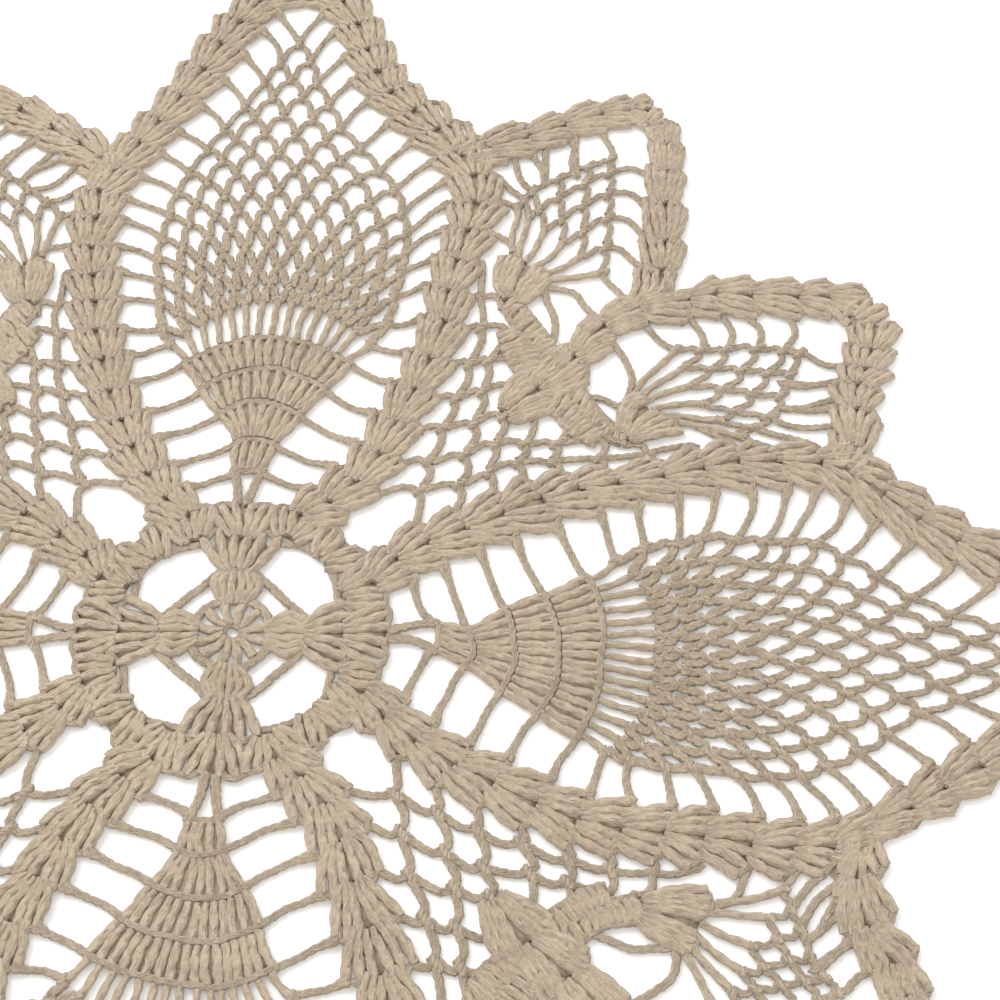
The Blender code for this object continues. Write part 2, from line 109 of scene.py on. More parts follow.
# Bars from the small pineapple to the shells round it, point by point on the diagonal frame.
SMALL_BARS = [
    [(129.0, 38.0), (129.6, 41.5), (127.2, 46.0)], [(136.7, 50.5), (135.4, 53.6), (133.6, 57.4)],
    [(141.3, 50.4), (141.0, 55.0), (141.0, 61.5)], [(146.6, 50.2), (146.6, 55.5), (147.5, 63.0)],
    [(152.6, 48.6), (153.5, 55.0), (152.4, 63.5)], [(158.8, 44.6), (161.6, 51.5), (162.0, 61.5)],
    [(165.6, 39.8), (169.6, 46.0), (170.4, 57.0)], [(166.0, 38.8), (171.0, 37.4), (174.5, 31.5)],
    [(161.6, 33.8), (164.6, 29.8), (164.8, 24.0)], [(156.2, 28.2), (159.0, 25.0), (159.6, 19.0)],
    [(151.4, 24.6), (152.6, 21.0), (152.2, 14.5)], [(146.0, 20.8), (142.6, 14.0), (140.4, 7.5)],
    [(129.0, 25.0), (122.0, 15.5), (114.0, 9.5)], [(133.5, 20.0), (132.5, 14.0), (130.3, 6.0)]]
# Rings of the medallion, millimetres from its middle
CORE = 2.0                 # chain ring that the first trebles are worked in
PETAL_IN = 8.6             # base of the four petals
PETAL_SPACE = 17.2         # their shell spaces
OUTER_SPACE = 26.4         # the next four shells' spaces
DENSE_IN = 28.2            # where the dense round of trebles begins
DARK_RING = 35.3           # shell spaces of the dense round
RING_FANS = [radians(turn) for turn in (23.6, 45.0, 66.4)]
# How plump a bar is from the pineapple to the shell that it is worked in.
BAR_PLUMP = (1.4, 1.08, 1.03, 1.03, 1.03, 1.03, 1.03, 1.1, 1.45, 1.7)
# Heights along a loop of the trellis, from knot to knot.
LOOP_UP = (1.2, CHAIN_UP, CHAIN_UP, CHAIN_UP, 1.2)

# Where the hand-worked cloth lies off the even pattern: X, Y of a place, then how far it has moved.
UNEVEN = [
    (-14, 32.5, 0, 0), (-26.5, 45, 1.5, 0), (-35.5, 63, 1.5, -2), (-43, 82.5, 1.5, -2.5),
    (-48, 102, 2, -3), (-51, 121.5, 1.5, -3.5), (-50.5, 141, 1, -3.5), (-42, 158.5, 0.5, -2.5),
    (-30, 176, -1.5, -2.5), (-20.5, 195, -2, 1), (-11.5, 213.5, -1.5, -0.5), (14, 32.5, -0.5, 1),
    (26.5, 45, 0.5, -1), (35.5, 63, 0, -0.5), (43, 82.5, 0.5, 0.5), (48, 102, -1, 3.5),
    (51, 121.5, 0.5, 5.5), (50.5, 141, 1.5, 5.5), (42, 158.5, -0.5, 5), (30, 176, -2.5, 1.5),
    (20.5, 195, 0, -0.5), (11.5, 213.5, 0.5, 1), (32.5, 14, 0, 0.5), (45, 26.5, 0.5, 0),
    (63, 35.5, 1, -0.5), (82.5, 43, 0.5, 0), (102, 48, 1, 0), (121.5, 51, 0, 2.5), (141, 50.5, 1.5, 2),
    (158.5, 42, -0.5, 1), (32.5, -14, -0.5, -0.5), (45, -26.5, 0, -1), (63, -35.5, 0, -1.5),
    (82.5, -43, 0, -2.5), (102, -48, 0, 0), (121.5, -51, -0.5, 0.5), (141, -50.5, -1, 0),
    (158.5, -42, -0.5, 1), (0, 48, -0.5, -1.5), (0, 67.5, 1.5, 1), (0, 88, 1.5, 1), (48, 0, 0.5, 1),
    (57, 0, 1, -3), (67.5, 0, 0, -2.5), (88, 0, 0.5, -3.5), (0, -48, -1.5, 0), (0, -67.5, -0.5, 0.5),
    (0, -88, -2, 1.5), (-21.5, 82, 1, -2), (21.5, 82, 1, -1), (82, 21.5, 2.5, -4), (82, -21.5, 1, -3),
    (-21.5, -82, -2, 1.5), (21.5, -82, -4, -1), (-28.5, 93, 1.5, -1.5), (-31.5, 108.5, 1, -1.5),
    (-32.5, 123.5, 1.5, -1.5), (-29.5, 139.5, 1, -1.5), (-22.5, 155.5, 0, -1), (-12.5, 172, -1, -0.5),
    (-4, 190, -0.5, -0.5), (28.5, 93, 2.5, 1.5), (31.5, 108.5, 3, 3.5), (32.5, 123.5, 2.5, 2),
    (29.5, 139.5, 1.5, 1.5), (22.5, 155.5, -1.5, 0.5), (12.5, 172, -2, 0.5), (4, 190, 0, 0),
    (-4.5, 168.5, -2, -0.5), (4.5, 168.5, -2.5, -0.5), (-13.5, 153, -1, 0), (4.5, 155, -2, -1),
    (13.5, 153, -3, -0.5), (-11.5, 140, -0.5, -1), (4, 141.5, -1, -1), (19.5, 137.5, 0.5, 0.5),
    (-16, 125, 0, -0.5), (3, 128, 0.5, -1), (16, 125, 2.5, -1.5), (-12.5, 111.5, 0.5, -0.5),
    (7.5, 112.5, 3, -0.5), (22.5, 106.5, 2.5, -0.5), (0, 100.5, 2, 0), (93, 28.5, 6, -1.5),
    (101, 30, 5, -1.5), (108.5, 31.5, 4, -1.5), (123.5, 32.5, 5, -3), (131.5, 31.5, 2, -2),
    (139.5, 29.5, 1, -0.5), (155.5, 22.5, -1, -1.5), (93, -28.5, 1.5, -2.5), (108.5, -31.5, 0, -1),
    (123.5, -32.5, 2.5, -1), (139.5, -29.5, 0, -1.5), (155.5, -22.5, -1.5, 0), (158, 18, -1.5, -3),
    (162, 0, -1.5, -0.5), (158, -18, -2.5, 1), (145.5, 17, -1.5, -2), (148.5, 0, -1.5, 0),
    (145.5, -17, -1.5, 1), (130, 21.5, 1.5, -2.5), (134.5, 7, 0.5, -1.5), (132.5, -14.5, -1.5, -2),
    (114, 23, 2.5, -2), (119, 11.5, 0.5, -2.5), (120, -5.5, -0.5, -3.5), (119, -11.5, 0.5, -4.5),
    (98.5, 22, 5, -3), (106.5, 0, 1, -4), (100.5, 0, -0.5, -4.5), (74.5, 110, -1, -1.5),
    (61, 132.5, 4.5, 3), (88, 117.5, 0, -4.5), (70.5, 140.5, -2.5, 1), (90, 130, 0, 3),
    (89.5, 144, 1.5, 5.5), (58.5, 158, 9, 3.5), (76, 168, 11.5, 3), (87, 171.5, 9, 1),
    (105, 170, 0.5, -0.5), (106, 149, 0, 0), (104.5, 124.5, 0.5, -0.5), (113.5, 68, -15.5, 1.5),
    (117.5, 88, -10, -0.5), (132.5, 61, -12.5, 0), (130, 90, -8.5, -1), (140.5, 70.5, -9, -4),
    (144, 89.5, -7.5, 0), (147.5, 83, -11.5, -2), (124.5, 104.5, -7, 2), (136.5, 105.5, -9, 0.5),
    (149, 106, -9.5, 0.5), (159.5, 105.5, -12, 0), (170, 105, -11, 1), (171.5, 87, -13.5, 2),
    (162.5, 67, -8.5, 11), (158, 58.5, -5, 11.5), (104, 70, -11.5, -7), (107, 56.5, 0, 0),
    (117, 57.5, -1.5, 0.5), (127, 58, -2, 1), (137, 58, -2, 1), (42.5, 42.5, 1, 0.5), (45, 52, 0, -1.5),
    (52, 45, 0, -1), (48, 61.5, 0.5, 0.5), (54, 54, 0.5, 0), (61.5, 48, -1, 1), (51, 70.5, -0.5, 0),
    (56.5, 63, -0.5, 1), (63, 56.5, -1, 1), (70.5, 51, -4, 0.5), (54, 80.5, 0.5, 2), (58, 71.5, 0, 2),
    (71.5, 58, -2.5, -1), (80.5, 54, -5, -1.5), (56.5, 91, 0, 2.5), (60, 80.5, -1.5, 3.5),
    (80.5, 60, -3.5, -2.5), (91, 56.5, -4, -3.5), (42.5, -42.5, -1, 1.5), (52, -45, -1, -0.5),
    (45, -52, -1, 2), (61.5, -48, -1.5, -1.5), (54, -54, -0.5, -1), (48, -61.5, -2.5, 1),
    (70.5, -51, -0.5, -1.5), (63, -56.5, -0.5, -2), (56.5, -63, 0, 0), (51, -70.5, -1, 0),
    (80.5, -54, 0, -2.5), (71.5, -58, 1, -1), (58, -71.5, -1.5, -0.5), (54, -80.5, -1.5, 0.5),
    (91, -56.5, -1.5, -1.5), (80.5, -60, 0, -0.5), (60, -80.5, -2.5, -0.5), (73, 73, -1.5, 1.5),
    (82, 82, -1.5, 2.5), (91, 91, -3, 3.5), (99.5, 99.5, -2, 2.5), (106, 106, 1, 0.5),
    (64, -64, -0.5, -0.5), (73, -73, -1.5, -2), (87, -69.5, -0.5, 1.5), (101, -65.5, -5, -1),
    (65.5, 101, -1.5, 2), (69.5, 87, 2, 0.5), (87, 69.5, -1.5, -3), (158, -58.5, -14, 1),
    (162.5, -67, -17, -2.5), (168, -76, -17, -1), (171.5, -87, -18.5, 3), (126, -75, -7, -2),
    (138, -81.5, -9, 1), (150, -88.5, -11.5, 4)]
# Places that lie where the even pattern has them: X, Y.
EVEN = [
    (-52, 51), (-64, 64), (-82, 82), (-106, 106), (-140, 140), (-88, 118), (-80, 165), (-82, 0), (-82, 43),
    (-82, -43), (-140, 50), (-140, -50), (-130, 0), (-220, 0), (-64, -64), (-140, -140), (-50, -130),
    (50, -140), (0, -130), (0, -220), (140, -140), (106, -106), (85, -165), (0, 220), (220, 0),
    (190, 18), (190, -18), (18, 0), (-18, 0), (0, 18), (0, -18), (24, 24), (-24, 24), (-24, -24), (24, -24)]
LAY_EASE = 30.0            # how softly the cloth follows those places


# ---------------------------------------------------------------- plan geometry

def unit(a, b):
    """Way from a to b, of length one."""
    d = hypot(b[0] - a[0], b[1] - a[1])
    return (b[0] - a[0]) / d, (b[1] - a[1]) / d


def beside(row, i, forward, inward):
    """Point beside place i of a row of places, inward being to the right hand."""
    t = unit(row[max(i - 1, 0)], row[min(i + 1, len(row) - 1)])
    return row[i][0] + forward * t[0] + inward * t[1], row[i][1] + forward * t[1] - inward * t[0]


def swap(p):
    """From along and across a big pineapple to along and across the diagonal, and back again."""
    return (p[0] + p[1]) / sqrt(2), (p[0] - p[1]) / sqrt(2)


def bow(a, b, out=0.0, steps=6):
    """Bent line from a to b, bulging to its left by out."""
    (tx, ty) = unit(a, b)
    cx, cy = (a[0] + b[0]) / 2 - 2 * out * ty, (a[1] + b[1]) / 2 + 2 * out * tx
    return bend(a, (cx, cy), b, steps)


def bend(a, c, b, steps):
    """Curve from a to b drawn towards c."""
    t = np.linspace(0, 1, steps + 1)[:, None]
    return (1 - t) ** 2 * np.array(a) + 2 * t * (1 - t) * np.array(c) + t ** 2 * np.array(b)


def arch(a, top, b, steps=8):
    """Loop of chain from a to b over its crest."""
    return bend(a, (2 * top[0] - (a[0] + b[0]) / 2, 2 * top[1] - (a[1] + b[1]) / 2), b, steps)


def net_loop(a, top, b, legs=(1, 1)):
    """Loop of a net, from a knot, side by side with its neighbour, round the next row's knot and back."""
    middle = (a[0] + b[0]) / 2, (a[1] + b[1]) / 2
    (ex, ey), (hx, hy) = unit(a, b), unit(middle, top)
    wide = hypot(b[0] - a[0], b[1] - a[1])
    high = hypot(top[0] - middle[0], top[1] - middle[1])
    leg = min(LEG, 0.24 * wide)
    sides = [[(0.6 * leg, 0.2), (1.02 * leg, 0.3 * high), (0.2 * wide + 0.3 * leg, 0.72 * high)] if tied
             else [(0.0, 0.0), (0.12 * wide, 0.36 * high), (0.26 * wide, 0.7 * high)] for tied in legs]
    spots = sides[0] + [(0.5 * wide, high - 1.0)] + [(wide - x, y) for x, y in sides[1][::-1]]
    return smooth([(a[0] + ex * x + hx * y, a[1] + ey * x + hy * y) for x, y in spots], 3)


def tucked(points, knots, rows):
    """The points of a chain, each end taken on to the knot beside it or in under the nearest shells."""
    points = list(points)
    for _ in range(2):
        end = points[-1]
        knot = min(knots, key=lambda q: hypot(q[0] - end[0], q[1] - end[1]))
        if hypot(knot[0] - end[0], knot[1] - end[1]) < KNOT_NEAR:
            points[-1] = knot
        else:
            tries = [(a[0] + s * (b[0] - a[0]), a[1] + s * (b[1] - a[1]))
                     for row in rows for a, b in zip(row, row[1:]) for s in (0.0, 0.25, 0.5, 0.75, 1.0)]
            goal = min(tries, key=lambda q: hypot(q[0] - end[0], q[1] - end[1]))
            far = hypot(goal[0] - end[0], goal[1] - end[1])
            if far > TUCK:
                share = 1 - TUCK / far
                points.append((end[0] + share * (goal[0] - end[0]), end[1] + share * (goal[1] - end[1])))
        points.reverse()
    return points


def stem(place, ahead, down=1.9, up=1.7):
    """The single crochet that ties two loops at a place, standing along the row's way forward."""
    return [(place[0] - down * ahead[0], place[1] - down * ahead[1]),
            (place[0] + up * ahead[0], place[1] + up * ahead[1])]


def smooth(points, steps=4):
    """Smooth curve through given points."""
    p = np.array(points, float)
    p = np.vstack([2 * p[0] - p[1], p, 2 * p[-1] - p[-2]])
    out = []
    for i in range(1, len(p) - 2):
        for t in np.linspace(0, 1, steps, endpoint=False):
            out.append(0.5 * (2 * p[i] + (p[i + 1] - p[i - 1]) * t
                              + (2 * p[i - 1] - 5 * p[i] + 4 * p[i + 1] - p[i + 2]) * t * t
                              + (3 * p[i] - p[i - 1] - 3 * p[i + 1] + p[i + 2]) * t ** 3))
    return np.array(out + [p[-2]])


def net_point(net, row, j):
    """Knot j of a row of a net."""
    _, middle, end, across, loops = net[row - net[0][0]]
    s = 2.0 * j / loops - 1.0 if loops else 0.0
    return middle + (end - middle) * s * s, across * s


def small_point(p):
    """From the small pineapple's own frame to the diagonal frame."""
    c, s = cos(SMALL_TURN), sin(SMALL_TURN)
    return SMALL_BASE[0] + p[0] * c - p[1] * s, SMALL_BASE[1] + p[0] * s + p[1] * c


def bar_start(j):
    """Where bar j leaves the pineapple."""
    if j <= 4:
        return TIP + FAN_ROW[j] * cos(FAN_HALF), FAN_ROW[j] * sin(FAN_HALF)
    return net_point(NET, j, NET[j - NET[0][0]][4])


def bar_end(j):
    """Where bar j meets the column."""
    return beside(COLUMN, j + 1, 0.3, JOIN)


def trellis_point(row, j):
    """Meeting point j of a trellis row, counted from its own pineapple."""
    if j in (0, row - 1):
        d, t = swap(beside(COLUMN, row, 0.3, -JOIN))
        return (d, t) if j == 0 else (d, -t)
    half = sorted(((d, t) for r, d, t in TRELLIS if r == row), key=lambda q: -q[1])
    return (half + [(d, -t) for d, t in half[::-1] if t > 0])[j - 1]


# ---------------------------------------------------------------- the lay of the cloth

def lay_map():
    """The smooth shift of the cloth as a function of places, with the small waver of hand work."""
    table = np.array(UNEVEN + [p + (0, 0) for p in EVEN], float)
    at, off = table[:, :2], table[:, 2:]
    n = len(at)

    def pull(q):
        r2 = ((q[:, None] - at[None]) ** 2).sum(-1)
        return 0.5 * r2 * np.log(np.maximum(r2, 1e-9))

    system = np.zeros((n + 3, n + 3))
    system[:n, :n] = pull(at) + LAY_EASE * np.eye(n)
    system[:n, n] = system[n, :n] = 1
    system[:n, n + 1:], system[n + 1:, :n] = at, at.T
    weight = np.linalg.solve(system, np.vstack([off, np.zeros((3, 2))]))

    def lay(q):
        shift = pull(q) @ weight[:n] + weight[n] + q @ weight[n + 1:]
        waver = np.zeros_like(q)
        for k, (long, high) in enumerate(((31.0, 0.35), (19.0, 0.28), (12.7, 0.22), (8.1, 0.14))):
            turn = 0.7 + 1.3 * k
            a = (q[:, 0] * cos(turn) + q[:, 1] * sin(turn)) * 2 * pi / long
            b = (q[:, 1] * cos(turn) - q[:, 0] * sin(turn)) * 2 * pi / (long * 1.17)
            waver += high * np.column_stack([np.sin(a + 1.9 * k) * np.cos(b),
                                             np.cos(a) * np.sin(b + 0.8 * k)])
        return q + shift + waver

    return lay


# ---------------------------------------------------------------- stitches as centre lines

class Lines:
    """Centre lines of one kind of thread: each is places, heights and plumpness."""

    def __init__(self):
        self.plan, self.up, self.plump = [], [], []

    def add(self, plan, up, plump=1.0):
        plan = np.array(plan, float)
        steps = np.linspace(0, 1, len(plan))

        def spread(values):
            if not hasattr(values, "__len__"):
                return np.full(len(plan), values)
            return np.interp(steps, np.linspace(0, 1, len(values)), values)

        self.plan.append(plan)
        self.up.append(spread(up))
        self.plump.append(spread(plump))

    def turned(self, quarter, side, across_diagonal=False):
        """The same lines at another pineapple, mirrored where side is -1, or from the diagonal frame."""
        out = Lines()
        c, s = round(cos(quarter * pi / 2)), round(sin(quarter * pi / 2))
        for plan, up, plump in zip(self.plan, self.up, self.plump):
            u, v = plan.T
            v = side * v
            if across_diagonal:
                u, v = (u + v) / sqrt(2), (u - v) / sqrt(2)
            out.plan.append(np.column_stack([u * c - v * s, u * s + v * c]))
            out.up.append(up)
            out.plump.append(plump)
        return out

    def join(self, other):
        self.plan += other.plan
        self.up += other.up
        self.plump += other.plump


def shell(posts, ridges, ground, base, space, reach=SHELL_HALF, each=3, droop=2.4, foot=0.6):
    """Trebles fanned out of one space to the next, parted at the top, with the chain along their tops."""
    left, right = reach if isinstance(reach, tuple) else (reach, reach)
    f = unit(base, space)
    across = (-f[1], f[0])
    high = hypot(space[0] - base[0], space[1] - base[1])
    place = lambda a, b: (base[0] + f[0] * a + across[0] * b, base[1] + f[1] * a + across[1] * b)
    for way, wide in ((1, left), (-1, right)):
        for k in range(each):
            part = k / (each - 1)
            stray = [STRAY * sin(9.1 * n + 5.3 * base[0] + 3.7 * base[1] + 4.0 * way * (k + 1))
                     for n in range(5)]
            start = (foot - 0.8 * part + stray[0], way * (0.6 + 2.0 * part))
            end = (high + 1.7 - droop * max(part - 0.4, 0) + 0.8 * stray[1],
                   way * (2.1 + part * (wide - 2.5)) + 0.5 * stray[2])
            turn = (start[0] + (0.43 - 0.13 * part) * (end[0] - start[0]),
                    start[1] + (0.35 + 0.25 * part) * (end[1] - start[1]) + stray[3])
            up = (1.8, 1.5, POST_UP + 0.25 + 0.3 * stray[4], POST_UP + 0.2 + 0.2 * stray[2], 1.25)
            plump = (0.75, 1.0, 1.2, 1.22 + 0.15 * stray[4], 1.0)
            posts.add(bend(place(*start), place(*turn), place(*end), 6), up, plump)
        top = [(-0.9, 0.9), (1.3, 0.3 * wide), (2.1, 0.55 * wide), (2.1 - 0.5 * droop, 0.77 * wide),
               (1.4 - droop, 0.98 * wide)]
        ridges.add(smooth([place(high + a, way * b) for a, b in top], 3), (0.9, 1.4, 1.45, 1.4, 1.0))
    middle = (left - right) / 2
    half = (left + right) / 2
    backing = [place(foot + a * (high - foot), b * middle)
               for a, b in ((0, 0), (0.2, 0.2), (0.4, 0.4), (0.6, 0.7), (0.8, 0.9), (1.0, 1.0))]
    ground.add(backing + [place(high + 1.2, middle)], (0.2, 0.65, 0.8, 0.8, 0.75, 0.2, 0.2),
               (2.6, 3.4, 0.56 * half, 0.64 * half, 0.7 * half, 0.72 * half, 0.5 * half))


def big_pineapple(pieces):
    """Half a big pineapple with the column beside it, on the along and across frame."""
    half = {name: Lines() for name in pieces}
    whole = {name: Lines() for name in pieces}
    for i in range(1, len(COLUMN)):
        edge = i >= EDGE_FROM
        kind = "edge" if edge else "column"
        shell(half[kind + " trebles"], half[kind + " ridges"], half["ground"], COLUMN[i - 1], COLUMN[i],
              reach=(EDGE_HALF, SHELL_HALF) if edge else SHELL_HALF)
    shell(whole["edge trebles"], whole["edge ridges"], whole["ground"], (214.5, 0), (221.3, 0), reach=4.8)
    for j in range(1, BARS):
        start = bar_start(j)
        sag = (0.9, 0.6, 0.4)[j % 3] * (1 if j < 7 else -1)
        half["bars"].add(bow(start, bar_end(j), sag, 10),
                         (1.3, CHAIN_UP, CHAIN_UP, CHAIN_UP, 1.7), BAR_PLUMP)
        half["knots"].add([(start[0] - 1.2, start[1]), (start[0] + 1.2, start[1])], 1.05)
    half["bars"].add(bow((TIP - 0.8, 3.4), bar_end(0), 0.6, 8),
                     (1.3, CHAIN_UP, CHAIN_UP, 1.4), (1.4, 1.1, 1.0, 1.1, 1.5))
    half["bars"].add(bow((36.8, 1.0), (TIP + 0.6, 3.9), -0.5, 6), 1.3, (1.5, 1.3, 1.25, 1.4))
    whole["fan ridges"].add([(TIP + 0.3, y) for y in (-4.2, -2, 0, 2, 4.2)], 1.3, 1.2)

    for row, (low, high) in enumerate(zip(FAN_ROW, FAN_ROW[1:])):
        n = FAN_POSTS[row]
        for k in range(n):
            share = 2 * k / (n - 1) - 1
            turn = FAN_HALF * 1.02 * share
            foot, head = max(low + 0.9, 1.2), high - 0.4
            lean = 0.35 * sin(k * 2.1 + row)
            a = (TIP + foot * cos(turn), foot * sin(turn)) if row else (TIP + 0.6, 3.4 * share)
            b = (TIP + head * cos(turn), head * sin(turn))
            whole["fan trebles"].add(bow(a, b, lean), (1.3, POST_UP, 1.2, 1.2),
                                    np.array((0.85, 1.0, 1.05, 0.95)) * (1.0, 1.0, 1.06, 1.1)[row])
        arc = [(TIP + high * cos(t), high * sin(t))
               for t in np.linspace(-1.06 * FAN_HALF, 1.06 * FAN_HALF, 4 + 4 * (row + 1))]
        whole["fan ridges"].add(arc, RIDGE_UP)
    deep = FAN_ROW[4] * cos(FAN_HALF)
    backing = [(TIP + 1.0 + share * (deep - 1.0), 0) for share in (0, 0.25, 0.5, 0.75, 1)]
    whole["ground"].add(backing + [(TIP + FAN_ROW[4] - 0.5, 0)], 0.7, (3.4, 6.0, 10.6, 15.6, 19.6, 8.0))

    spokes = NET[0][4] + 1
    for j in range(spokes):
        turn = FAN_HALF * 0.97 * (2 * j / (spokes - 1) - 1)
        foot = (TIP + (FAN_ROW[4] + 0.8) * cos(turn), (FAN_ROW[4] + 0.8) * sin(turn))
        head = net_point(NET, NET[0][0], j)
        whole["fan trebles"].add(bow(foot, head, 0.2 * sin(1.7 * j)), (1.35, 1.0, 1.1), (0.8, 0.85, 0.95))
        whole["knots"].add(stem(head, unit(foot, head), 0.8, 1.6), (1.2, 1.1), 0.95)
    for row, _, _, _, loops in NET:
        up, plump = (1.1, 1.34) if row < WIDE_ROWS else (CHAIN_UP, 1.12 if row < FIRM_ROWS else 1.05)
        for j in range(loops):
            a, b, top = net_point(NET, row, j), net_point(NET, row, j + 1), net_point(NET, row + 1, j)
            ahead = unit(((a[0] + b[0]) / 2, (a[1] + b[1]) / 2), top)
            whole["wide net" if row < WIDE_ROWS else "narrow net"].add(
                net_loop(a, top, b), (1.3, up, up, 0.9 * up, up, up, 1.3), plump)
            whole["knots"].add(stem(top, ahead), (1.25, 1.1), 1.0 if row < WIDE_ROWS else 0.92)
    return half, whole


def medallion(pieces):
    """A quarter of the medallion, on the along and across frame of a big pineapple."""
    quarter = {name: Lines() for name in pieces}
    trebles, ridges, ground = quarter["round trebles"], quarter["round ridges"], quarter["ground"]
    spot = lambda r, turn: (r * cos(turn), r * sin(turn))
    ring = lambda r, a, b, n: [spot(r, t) for t in np.linspace(a, b, n)]
    for k in range(3):
        turn = pi / 2 * (k + 0.35) / 3
        trebles.add(bow(spot(CORE, turn), spot(PETAL_IN - 0.2, turn + 0.1), 0.5),
                    (1.4, POST_UP + 0.1, 1.3), (0.8, 1.1, 1.15))
    ridges.add(ring(CORE, 0, pi / 2, 5), 1.35, 0.9)
    ridges.add(ring(PETAL_IN + 0.8, 0, pi / 2, 9), 1.3, 1.35)
    for side in (-1, 1):
        for k in range(3):
            petal = [(PETAL_IN - 0.8, side * (0.6 + 0.8 * k)), (12.4, side * (1.1 + 2.1 * k)),
                     (15.8, side * (1.1 + 1.6 * k)), (PETAL_SPACE + 1.7 - 0.4 * k, side * (0.7 + 1.0 * k))]
            trebles.add(smooth(petal, 3), (1.8, 1.45, POST_UP + 0.2, 1.2), (0.75, 1.1, 1.2, 0.9))
        ridges.add(smooth([(PETAL_SPACE + 0.4, side * 0.9), (PETAL_SPACE + 1.5, side * 1.8),
                           (PETAL_SPACE + 0.2, side * 3.4)], 3), 1.4)
    ground.add([(PETAL_IN, 0), (12.4, 0), (15.8, 0), (PETAL_SPACE + 1.0, 0)],
               (0.3, 0.8, 0.8, 0.5), (2.6, 4.9, 3.9, 2.0))
    shell(trebles, ridges, ground, (PETAL_SPACE, 0), (OUTER_SPACE, 0), reach=9.4, droop=2.6)
    quarter["bars"].add(bow((18.4, 3.2), (3.2, 18.4), 0.0, 8), CHAIN_UP, 1.25)
    quarter["bars"].add(bow((24.8, 9.6), (9.6, 24.8), -4.9, 14), 1.0, 1.1)
    shell(trebles, ridges, ground, (OUTER_SPACE, 0), (DARK_RING, 0), reach=8.6, droop=0.8)
    for turn in RING_FANS:
        shell(trebles, ridges, ground, spot(DENSE_IN, turn), spot(DARK_RING, turn), reach=7.8, droop=0.8)
    return quarter


def branch(posts, ridges, ground):
    """Two tiers of trebles from the star to the small pineapple, and the shell that ends them."""
    shell(posts, ridges, ground, BRANCH[-2], BRANCH[-1], reach=(7.4, 7.0), each=4)
    band = np.array(smooth(BRANCH_ROW, 4))
    ridges.add(band[3:] + np.array([6.0, -0.8]), 1.4)
    ridges.add(band[3:], 1.5)
    ridges.add(band[3:14] - np.array([5.6, 0.3]), 1.2)
    ground.add(band[2:] + np.array([3.0, -0.4]), 0.7, (2.4, 3.0, 3.0, 2.8))
    ground.add(band[2:13] - np.array([3.0, 0.0]), 0.7, (2.4, 2.8, 2.4))
    for low, high, count, last in ((0.3, 6.2, 13, 15.0), (-6.0, 0.6, 10, 11.0)):
        for k in range(count):
            share = 2.0 + (last - 2.0) * k / (count - 1)
            d, t = (float(np.interp(share, range(len(band)), band[:, axis])) for axis in (0, 1))
            waver = 0.8 * sin(2.3 * k + low)
            foot = (d + low, t + 0.8 - 0.09 * k + waver)
            head = (d + high + 0.6 * waver, t - 0.7 + 0.09 * k)
            posts.add(bow(foot, head, 0.6 * sin(1.7 * k + low)),
                      (1.4, POST_UP, POST_UP + 0.25, 1.2), (0.9, 1.1, 1.15, 1.0))


